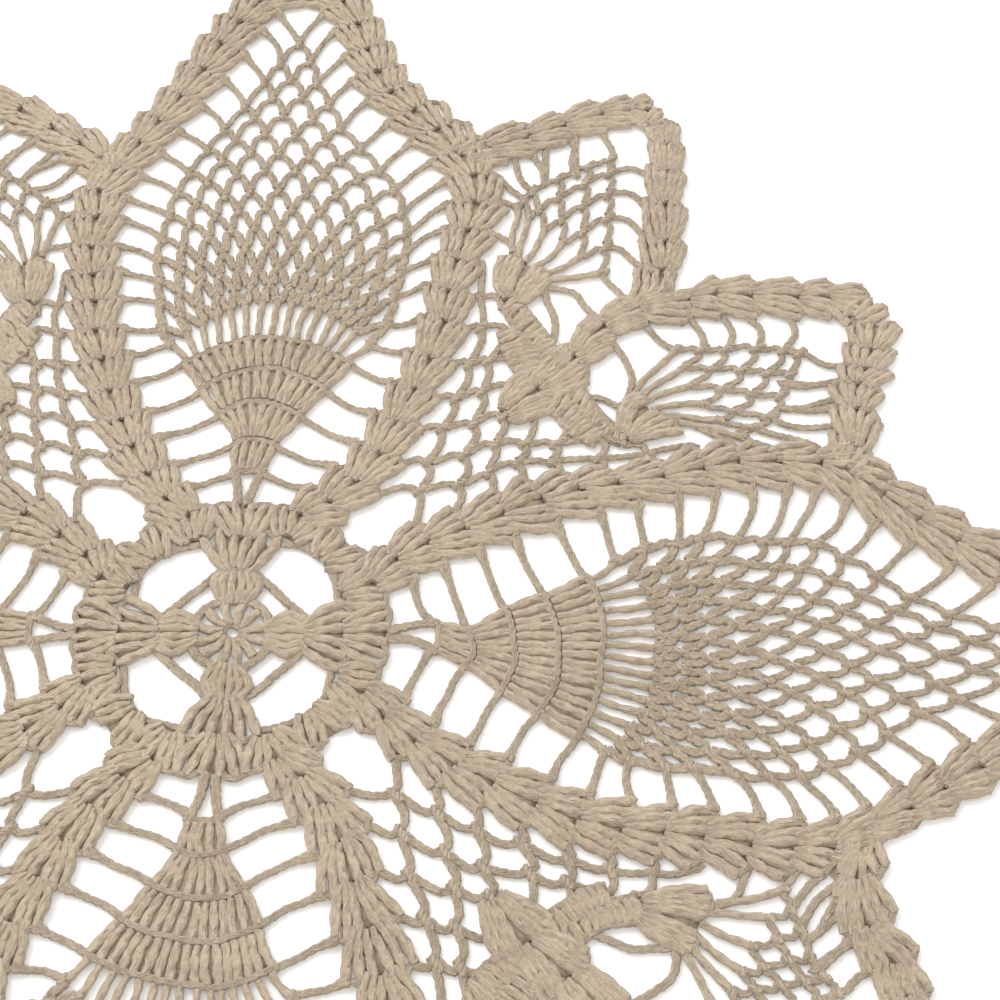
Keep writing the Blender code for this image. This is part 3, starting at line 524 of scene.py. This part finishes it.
def wedge(pieces):
    """Half of what lies between two big pineapples, on the diagonal frame, and what lies on the diagonal."""
    half = {name: Lines() for name in pieces}
    whole = {name: Lines() for name in pieces}
    for row in range(2, 8):
        for j in range((row - 1) // 2 if row < 7 else 2):
            a, b, top = trellis_point(row, j), trellis_point(row, j + 1), trellis_point(row + 1, j + 1)
            half["bars"].add(net_loop(a, top, b, (j > 0, 1)), LOOP_UP, 1.15)
            half["knots"].add(stem(top, (1.0, 0.0), 2.3, 1.9), (1.2, 1.1), 0.95)
        if row % 2 == 0 and row < 7:
            j = row // 2 - 1
            a, b, top = trellis_point(row, j), trellis_point(row, j + 1), trellis_point(row + 1, j + 1)
            tied = 1 if row > 2 else 0
            whole["bars"].add(net_loop(a, top, b, (tied, tied)), LOOP_UP, 1.15)
            whole["knots"].add(stem(top, (1.0, 0.0), 2.3, 1.9), (1.2, 1.1), 0.95)
    half["bars"].add(arch(trellis_point(8, 0), (112.0, 31.0), (104.5, 24.5), 10), CHAIN_UP)
    half["bars"].add(arch(swap(beside(COLUMN, 9, 0.3, -5.5)), (119.5, 39.0), (112.0, 31.0), 10), CHAIN_UP)
    for a, top, b in TRELLIS_ENDS:
        half["bars"].add(arch(a, top, b, 8), CHAIN_UP, 1.1)

    for i in range(1, len(STAR)):
        shell(whole["star trebles"], whole["star ridges"], whole["ground"], STAR[i - 1], STAR[i],
              reach=STAR_REACH[i - 1], each=4)
    branch(half["star trebles"], half["star ridges"], half["ground"])
    over = [swap(COLUMN[12]), (138.5, 70.5)] + EDGE_OVER
    for i in range(2, len(over)):
        shell(half["edge trebles"], half["edge ridges"], half["ground"], over[i - 1], over[i],
              reach=(EDGE_HALF, SHELL_HALF))
    under = [STAR[4]] + EDGE_UNDER
    for i in range(1, len(under)):
        shell(half["edge trebles"], half["edge ridges"], half["ground"], under[i - 1], under[i],
              reach=(SHELL_HALF, 3.6 if i == 1 else EDGE_HALF))
    shell(half["edge trebles"], half["edge ridges"], half["ground"], (186.5, 48.5), (193.2, 47.8),
          reach=4.8, each=2, droop=1.6)

    for j in range(6):
        foot, head = small_point((1.2, -6.0 + 2.4 * j)), small_point(net_point(SMALL_NET, 0, j))
        half["small trebles"].add(bow(foot, head, 0.3 * sin(2 * j)), 1.1, (0.8, 0.85, 0.9))
        half["knots"].add(stem(head, unit(foot, head), 1.2, 1.6), (1.2, 1.1), 0.9)
    for row, _, _, _, loops in SMALL_NET:
        for j in range(loops):
            a, b = (small_point(net_point(SMALL_NET, row, j + s)) for s in (0, 1))
            top = small_point(net_point(SMALL_NET, row + 1, j))
            ahead = unit(((a[0] + b[0]) / 2, (a[1] + b[1]) / 2), top)
            half["narrow net"].add(net_loop(a, top, b),
                                   (1.3, CHAIN_UP, CHAIN_UP, 0.8, CHAIN_UP, CHAIN_UP, 1.3))
            half["knots"].add(stem(top, ahead), (1.25, 1.1), 0.9)
    spaces = [over, under, STAR, BRANCH, [swap(place) for place in COLUMN[:EDGE_FROM + 1]]]
    knots = [small_point(net_point(SMALL_NET, row, j))
             for row, _, _, _, loops in SMALL_NET for j in range(loops + 1)]
    for points in SMALL_BARS:
        half["bars"].add(smooth(tucked(points, knots, spaces)), CHAIN_UP, 1.08)
    return half, whole


def all_lines(pieces):
    """Every centre line of the doily, by piece, on the even pattern."""
    found = {name: Lines() for name in pieces}
    half, whole = big_pineapple(pieces)
    side_half, on_diagonal = wedge(pieces)
    middle = medallion(pieces)
    for name in pieces:
        for quarter in range(PINEAPPLES):
            for side in (1, -1):
                found[name].join(half[name].turned(quarter, side))
                found[name].join(side_half[name].turned(quarter, side, True))
            found[name].join(whole[name].turned(quarter, 1))
            found[name].join(on_diagonal[name].turned(quarter, 1, True))
            found[name].join(middle[name].turned(quarter, 1))
    return found


# ---------------------------------------------------------------- thread from centre lines

def line_mesh(name, lines, lay):
    """The centre lines as loose edges, laid out and in metres, with their plumpness."""
    plan = lay(np.vstack(lines.plan))
    points = np.column_stack([plan, np.concatenate(lines.up)]) * METRE
    edges, first = [], 0
    for plan in lines.plan:
        edges += [(first + i, first + i + 1) for i in range(len(plan) - 1)]
        first += len(plan)
    mesh = bpy.data.meshes.new(name)
    mesh.from_pydata(points.tolist(), edges, [])
    mesh.attributes.new("plump", "FLOAT", "POINT").data.foreach_set("value", np.concatenate(lines.plump))
    obj = bpy.data.objects.new(name, mesh)
    bpy.context.scene.collection.objects.link(obj)
    return obj


class Tree:
    """Small helper that adds nodes and links to a node tree."""

    def __init__(self, tree):
        self.tree = tree

    def add(self, kind, inputs=(), **settings):
        node = self.tree.nodes.new(kind)
        for key, value in settings.items():
            setattr(node, key, value)
        for key, value in dict(inputs).items():
            if isinstance(value, bpy.types.NodeSocket):
                self.tree.links.new(value, node.inputs[key])
            elif value is not None:
                node.inputs[key].default_value = value
        return node

    def attribute(self, name):
        return self.add("GeometryNodeInputNamedAttribute", {"Name": name}, data_type="FLOAT").outputs[0]

    def maths(self, kind, a, b=None, c=None):
        return self.add("ShaderNodeMath", {0: a, 1: b, 2: c}, operation=kind).outputs[0]

    def vector(self, kind, a, b=None, scale=None):
        node = self.add("ShaderNodeVectorMath", {0: a, 1: b}, operation=kind)
        if scale is not None:
            if isinstance(scale, bpy.types.NodeSocket):
                self.tree.links.new(scale, node.inputs["Scale"])
            else:
                node.inputs["Scale"].default_value = scale
        return node.outputs[0]


def thread_tree(name, inputs):
    """A tree with its inputs by name, and the centre lines that it gets, as a curve of even steps."""
    group = bpy.data.node_groups.new(name, "GeometryNodeTree")
    ids = {}
    for label, kind in inputs:
        socket = group.interface.new_socket(label, in_out="INPUT", socket_type="NodeSocket" + kind)
        ids[label] = socket.identifier
    group.interface.new_socket("Geometry", in_out="OUTPUT", socket_type="NodeSocketGeometry")
    t = Tree(group)
    given = t.add("NodeGroupInput").outputs
    curve = t.add("GeometryNodeMeshToCurve", {"Mesh": given["Lines"]}).outputs["Curve"]
    steps = {"Curve": curve, "Length": given["Step"]}
    return t, ids, given, t.add("GeometryNodeResampleCurve", steps, mode="LENGTH").outputs[0]


def finished(t, geometry, given):
    """The end of a thread's tree: real faces with their material."""
    real = t.add("GeometryNodeRealizeInstances", {"Geometry": geometry}).outputs[0]
    painted = t.add("GeometryNodeSetMaterial", {"Geometry": real, "Material": given["Material"]}).outputs[0]
    t.add("NodeGroupOutput", {"Geometry": painted})


def strand_tree():
    """Strands laid round a centre line: two twisted make a treble's post, three plaited a chain."""
    t, ids, given, curve = thread_tree("Laid strands", (
        ("Lines", "Geometry"), ("Strands", "Int"), ("Strand radius", "Float"), ("Swing across", "Float"),
        ("Swing up", "Float"), ("Turns up per turn across", "Float"), ("Quarter ahead", "Float"),
        ("Length of a turn", "Float"), ("Step", "Float"), ("Sides", "Int"), ("Material", "Material")))
    along = t.add("GeometryNodeSplineParameter").outputs["Length"]
    index = t.add("GeometryNodeInputIndex").outputs[0]
    draw = {3: 2 * pi, "ID": index, "Seed": 7}
    start = t.add("FunctionNodeRandomValue", draw, data_type="FLOAT").outputs[1]
    first = t.add("GeometryNodeFieldOnDomain", {0: start}, domain="CURVE", data_type="FLOAT").outputs[0]
    kept = t.add("GeometryNodeStoreNamedAttribute", {"Geometry": curve, "Name": "along", "Value": along},
                 data_type="FLOAT", domain="POINT").outputs[0]
    kept = t.add("GeometryNodeStoreNamedAttribute", {"Geometry": kept, "Name": "start", "Value": first},
                 data_type="FLOAT", domain="CURVE").outputs[0]
    copies = t.add("GeometryNodeDuplicateElements", {"Geometry": kept, "Amount": given["Strands"]},
                   domain="SPLINE")
    share = t.maths("DIVIDE", copies.outputs["Duplicate Index"], given["Strands"])
    turns = t.maths("DIVIDE", t.attribute("along"), given["Length of a turn"])
    phase = t.maths("MULTIPLY", t.maths("ADD", turns, share), 2 * pi)
    phase = t.maths("ADD", phase, t.attribute("start"))
    tangent = t.add("GeometryNodeInputTangent").outputs[0]
    side = t.vector("NORMALIZE", t.vector("CROSS_PRODUCT", tangent, (0.0, 0.0, 1.0)))
    plump = t.attribute("plump")
    across = t.maths("MULTIPLY", t.maths("MULTIPLY", t.maths("SINE", phase), given["Swing across"]), plump)
    rise = t.maths("SINE", t.maths("ADD", t.maths("MULTIPLY", phase, given["Turns up per turn across"]),
                                   given["Quarter ahead"]))
    up = t.maths("MULTIPLY", t.maths("MULTIPLY", rise, given["Swing up"]), plump)
    lift = t.vector("SCALE", (0.0, 0.0, 1.0), scale=up)
    shift = t.vector("ADD", t.vector("SCALE", side, scale=across), lift)
    laid = {"Geometry": copies.outputs["Geometry"], "Offset": shift}
    moved = t.add("GeometryNodeSetPosition", laid).outputs[0]
    section = {"Resolution": given["Sides"], "Radius": given["Strand radius"]}
    ring = t.add("GeometryNodeCurvePrimitiveCircle", section, mode="RADIUS").outputs["Curve"]
    ring = t.add("GeometryNodeStoreNamedAttribute", {
        "Geometry": ring, "Name": "round",
        "Value": t.vector("NORMALIZE", t.add("GeometryNodeInputPosition").outputs[0])},
        data_type="FLOAT_VECTOR", domain="POINT").outputs[0]
    sweep = {"Curve": moved, "Profile Curve": ring, "Scale": plump, "Fill Caps": True}
    swept = t.add("GeometryNodeCurveToMesh", sweep).outputs[0]
    shaded = t.add("GeometryNodeSetShadeSmooth", {"Geometry": swept, "Shade Smooth": True}).outputs[0]
    finished(t, shaded, given)
    return t.tree, ids


def band_tree():
    """Flat bands of matted thread that lie behind the trebles; they are given the cotton painted darker, as
    the shade in the gaps between trebles.
    """
    t, ids, given, curve = thread_tree("Matted bands", (
        ("Lines", "Geometry"), ("Thickness", "Float"), ("Step", "Float"), ("Material", "Material")))
    ends = {"Start": (-METRE, 0.0, 0.0), "End": (METRE, 0.0, 0.0)}
    profile = t.add("GeometryNodeCurvePrimitiveLine", ends).outputs[0]
    upright = t.add("GeometryNodeSetCurveNormal", {"Curve": curve}, mode="Z_UP").outputs[0]
    sweep = {"Curve": upright, "Profile Curve": profile, "Scale": t.attribute("plump")}
    flat = t.add("GeometryNodeCurveToMesh", sweep).outputs[0]
    rise = {"Mesh": flat, "Offset": (0.0, 0.0, 1.0), "Offset Scale": given["Thickness"], "Individual": False}
    thick = t.add("GeometryNodeExtrudeMesh", rise, mode="FACES").outputs[0]
    flipped = t.add("GeometryNodeFlipFaces", {"Mesh": flat}).outputs[0]
    both = t.add("GeometryNodeJoinGeometry").inputs[0]
    t.tree.links.new(thick, both)
    t.tree.links.new(flipped, both)
    closed = {"Geometry": both.node.outputs[0], "Distance": 1e-6}
    finished(t, t.add("GeometryNodeMergeByDistance", closed).outputs[0], given)
    return t.tree, ids


def worked(obj, tree, ids, values):
    """The object's lines turned to thread by a tree, as a plain mesh."""
    modifier = obj.modifiers.new("thread", "NODES")
    modifier.node_group = tree
    for name, value in values.items():
        modifier[ids[name]] = value
    bpy.context.view_layer.update()
    made = bpy.data.meshes.new_from_object(obj.evaluated_get(bpy.context.evaluated_depsgraph_get()))
    obj.modifiers.remove(modifier)
    lines, obj.data = obj.data, made
    bpy.data.meshes.remove(lines)
    made.name = obj.name
    return obj


def joined(first, second):
    """Two pieces as one."""
    with bpy.context.temp_override(active_object=first, selected_editable_objects=[first, second]):
        bpy.ops.object.join()
    return first


# ---------------------------------------------------------------- cotton

GRAIN = 0.0012             # size of the felted grain, metres
FURROW = 0.0032            # length of a wrinkle along the thread, metres


def thread_group():
    """Spun cotton: plies along the thread, fibres, wrinkles, and slow changes of colour, with painted shade
    that darkens the colour in the wrinkles' furrows and between the plies.
    """
    group = bpy.data.node_groups.new("Spun cotton", "ShaderNodeTree")
    for name, kind, value in (("Colour", "Color", (0.6, 0.5, 0.4, 1)),
                              ("Shade", "Color", (0.3, 0.25, 0.2, 1)),
                              ("Ply turn", "Float", 0.007), ("Fibre size", "Float", 0.00025),
                              ("Blotch size", "Float", 0.03), ("Wrinkle", "Float", 1.0)):
        socket = group.interface.new_socket(name, in_out="INPUT", socket_type="NodeSocket" + kind)
        socket.default_value = value
    for name, kind in (("Colour", "Color"), ("Height", "Float")):
        group.interface.new_socket(name, in_out="OUTPUT", socket_type="NodeSocket" + kind)
    t = Tree(group)
    given = t.add("NodeGroupInput").outputs
    spot = t.add("ShaderNodeTexCoord").outputs["Object"]

    def noise(size, detail):
        scale = t.maths("DIVIDE", 1.0, size)
        return t.add("ShaderNodeTexNoise", {"Vector": spot, "Scale": scale, "Detail": detail}).outputs[0]

    along = t.add("ShaderNodeAttribute", attribute_name="along").outputs["Fac"]
    around = t.add("ShaderNodeAttribute", attribute_name="round").outputs["Vector"]
    axes = t.add("ShaderNodeSeparateXYZ", {0: around}).outputs
    turn = t.maths("MULTIPLY", t.maths("DIVIDE", along, given["Ply turn"]), 2 * pi)
    ply = t.maths("SINE", t.maths("MULTIPLY_ADD", t.maths("ARCTAN2", axes[1], axes[0]), 3.0, turn))
    ply = t.maths("MULTIPLY_ADD", ply, 0.5, 0.5)
    fibre = noise(given["Fibre size"], 3.0)
    blotch = noise(given["Blotch size"], 2.0)
    grain = noise(GRAIN, 2.0)
    tone_and_crease_shade = t.maths("ADD", t.maths("MULTIPLY", t.maths("SUBTRACT", blotch, 0.5), 0.9),
                   t.maths("MULTIPLY", t.maths("SUBTRACT", grain, 0.5), 0.8))
    furrow = t.vector("MULTIPLY", around, (1.7, 1.7, 0.0))
    lengthwise = t.maths("DIVIDE", along, FURROW)
    furrow = t.vector("ADD", furrow, t.add("ShaderNodeCombineXYZ", {2: lengthwise}).outputs[0])
    furrow = t.vector("ADD", furrow, t.vector("SCALE", spot, scale=190.0))
    furrow = t.add("ShaderNodeTexNoise", {"Vector": furrow, "Scale": 1.0, "Detail": 2.0,
                                          "Distortion": 0.6}).outputs[0]
    # Painted shade: the colour turns darker in the furrows of the wrinkles and in the grooves between the
    # plies.
    tone_and_crease_shade = t.maths("MULTIPLY_ADD", t.maths("SUBTRACT", furrow, 0.5), -2.2, tone_and_crease_shade)
    tone_and_crease_shade = t.maths("MULTIPLY_ADD", t.maths("SUBTRACT", ply, 0.5), -0.16, tone_and_crease_shade)
    amount = t.add("ShaderNodeClamp", {0: t.maths("ADD", tone_and_crease_shade, 0.28)}).outputs[0]
    mix = t.add("ShaderNodeMix", {0: amount, 6: given["Colour"], 7: given["Shade"]}, data_type="RGBA")
    wrinkle = t.maths("ADD", t.maths("MULTIPLY", furrow, 4.0), t.maths("MULTIPLY", grain, 2.6))
    height = t.maths("ADD", ply, t.maths("MULTIPLY", fibre, 0.6))
    height = t.maths("MULTIPLY_ADD", wrinkle, given["Wrinkle"], height)
    t.add("NodeGroupOutput", {"Colour": mix.outputs[2], "Height": height})
    return group


def cotton(name, group, colour, shade, depth, wrinkle):
    """A cotton thread: depth is how far its plies stand out, in metres, and wrinkle how matted it is."""
    material = bpy.data.materials.new(name)
    material.use_nodes = True
    t = Tree(material.node_tree)
    shader = material.node_tree.nodes["Principled BSDF"]
    spun = t.add("ShaderNodeGroup", node_tree=group)
    spun.inputs["Colour"].default_value = (*colour, 1)
    spun.inputs["Shade"].default_value = (*shade, 1)
    spun.inputs["Wrinkle"].default_value = wrinkle
    bump = t.add("ShaderNodeBump", {"Height": spun.outputs["Height"], "Distance": depth, "Strength": 1.0})
    t.tree.links.new(spun.outputs["Colour"], shader.inputs["Base Color"])
    t.tree.links.new(bump.outputs[0], shader.inputs["Normal"])
    shader.inputs["Roughness"].default_value = 0.95
    shader.inputs["Specular IOR Level"].default_value = 0.15
    shader.inputs["Sheen Weight"].default_value = 0.25
    shader.inputs["Sheen Roughness"].default_value = 0.6
    return material


# ---------------------------------------------------------------- the stage

TABLE_HALF = 3.0                             # half the table top, metres
TABLE_UNDER = 0.00005                        # how far it lies under the cloth
LENS, SENSOR = 73.44, 36.0                   # camera, millimetres
CAMERA_AT = (0.0705, -0.2376, 0.4238)
CAMERA_TURN = (radians(33.3), 0.0, radians(1.6))


def plain(name, colour, rough):
    material = bpy.data.materials.new(name)
    material.use_nodes = True
    shader = material.node_tree.nodes["Principled BSDF"]
    shader.inputs["Base Color"].default_value = (*colour, 1)
    shader.inputs["Roughness"].default_value = rough
    return material


def table_top():
    mesh = bpy.data.meshes.new("table top")
    corners = [(TABLE_HALF * x, TABLE_HALF * y, 0) for x, y in ((-1, -1), (1, -1), (1, 1), (-1, 1))]
    mesh.from_pydata(corners, [], [(0, 1, 2, 3)])
    obj = bpy.data.objects.new("table top", mesh)
    obj.location.z = -TABLE_UNDER
    white = plain("white table", (0.93, 0.93, 0.925), 0.6)
    shader = white.node_tree.nodes["Principled BSDF"]
    shader.inputs["Emission Color"].default_value = (1.0, 1.0, 1.0, 1)
    shader.inputs["Emission Strength"].default_value = 0.2
    mesh.materials.append(white)
    bpy.context.scene.collection.objects.link(obj)


def soft_light(name, place, size, watts, aim=(0.0, 0.0, 0.0)):
    lamp = bpy.data.lights.new(name, "AREA")
    lamp.size, lamp.energy = size, watts
    obj = bpy.data.objects.new(name, lamp)
    obj.location = place
    obj.rotation_euler = (Vector(aim) - Vector(place)).to_track_quat("-Z", "Y").to_euler()
    bpy.context.scene.collection.objects.link(obj)


def studio():
    world = bpy.data.worlds.new("studio")
    world.use_nodes = True
    world.node_tree.nodes["Background"].inputs[0].default_value = (1.0, 1.0, 1.0, 1)
    world.node_tree.nodes["Background"].inputs[1].default_value = 0.85
    bpy.context.scene.world = world
    soft_light("window", (-0.8, 0.7, 1.3), 1.2, 14.0)
    scene = bpy.context.scene
    scene.view_settings.view_transform = "Standard"
    camera = bpy.data.cameras.new("camera")
    camera.lens, camera.sensor_width = LENS, SENSOR
    camera.clip_start = 0.01
    obj = bpy.data.objects.new("camera", camera)
    obj.location = CAMERA_AT
    obj.rotation_euler = CAMERA_TURN
    scene.collection.objects.link(obj)
    scene.camera = obj


# ---------------------------------------------------------------- the doily

# The pieces, and the kind of thread each is made of.
PIECES = {
    "wide net": "chain", "narrow net": "chain", "bars": "chain", "column ridges": "chain",
    "edge ridges": "chain", "star ridges": "chain", "fan ridges": "chain", "round ridges": "chain",
    "column trebles": "post", "edge trebles": "post",
    "star trebles": "post", "fan trebles": "post", "small trebles": "post", "round trebles": "post",
    "knots": "knot", "ground": "band"}


def doily():
    """All pieces of the doily, by name."""
    group = thread_group()
    light = cotton("ecru cotton", group, (0.638, 0.517, 0.378), (0.42, 0.33, 0.23), 0.00022, 0.9)
    # Painted shade: the bands behind the trebles get the same cotton in darker colours, for the shade that
    # falls in the gaps between trebles.
    shade_painted_cotton = cotton("cotton in painted shade", group, (0.43, 0.345, 0.245), (0.34, 0.265, 0.18), 0.0002, 1.0)
    strands, strand_ids = strand_tree()
    bands, band_ids = band_tree()
    chain = {"Strands": 3, "Strand radius": CHAIN_STRAND * METRE,
             "Swing across": (CHAIN_WIDE / 2 - CHAIN_STRAND) * METRE,
             "Swing up": 0.18 * METRE, "Turns up per turn across": 2.0, "Quarter ahead": 0.0,
             "Length of a turn": 3 * STITCH * METRE, "Step": 1.0 * METRE, "Sides": 4, "Material": light}
    post = {"Strands": 2, "Strand radius": POST_STRAND * METRE,
            "Swing across": (POST_WIDE / 2 - POST_STRAND) * METRE,
            "Swing up": 0.14 * METRE, "Turns up per turn across": 1.0, "Quarter ahead": pi / 2,
            "Length of a turn": 9.0 * METRE, "Step": 1.55 * METRE, "Sides": 5, "Material": light}
    knot = dict(post, **{"Strand radius": 0.8 * METRE, "Swing across": 0.62 * METRE, "Swing up": 0.3 * METRE,
                         "Length of a turn": 2.6 * METRE, "Step": 0.55 * METRE})
    band = {"Thickness": 0.6 * METRE, "Step": 1.8 * METRE, "Material": shade_painted_cotton}
    kinds = {"chain": (strands, strand_ids, chain), "post": (strands, strand_ids, post),
             "knot": (strands, strand_ids, knot), "band": (bands, band_ids, band)}
    lay = lay_map()
    made = {}
    for name, lines in all_lines(PIECES).items():
        if not lines.plan:
            continue
        tree, ids, values = kinds[PIECES[name]]
        made[name] = worked(line_mesh(name.replace(" ", "_"), lines, lay), tree, ids, values)
    made["column trebles"] = joined(made["column trebles"], made.pop("ground"))
    return made


table_top()
studio()
pieces = doily()
for piece in pieces.values():
    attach(piece, "root")
    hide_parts("doily")
